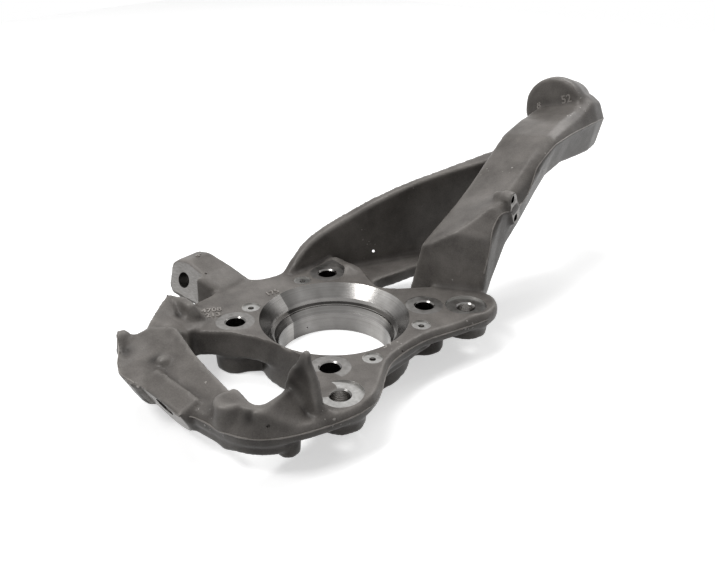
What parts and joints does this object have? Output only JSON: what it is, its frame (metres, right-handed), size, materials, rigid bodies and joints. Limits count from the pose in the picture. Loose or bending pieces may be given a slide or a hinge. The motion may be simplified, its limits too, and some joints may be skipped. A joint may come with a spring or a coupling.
{
  "type": "steering knuckle",
  "caption": "One-piece cast knuckle with a stepped hub bore, caliper ears, a steering arm, a hollow lower cradle and a long curved neck for the upper ball joint.",
  "frame": {"origin": "on the axis of the hub bore, in the plane of the hub bolt seats", "axes": "+Z along the hub axis to the inboard side, +Y up the swan neck, +X to the caliper ears"},
  "size_m": [0.2157, 0.434, 0.1525],
  "materials": {
    "cast_aluminium": "as cast, shot blasted"
  },
  "bodies": {
    "root": {"knuckle_casting": "cast_aluminium"}
  },
  "joints": []
}
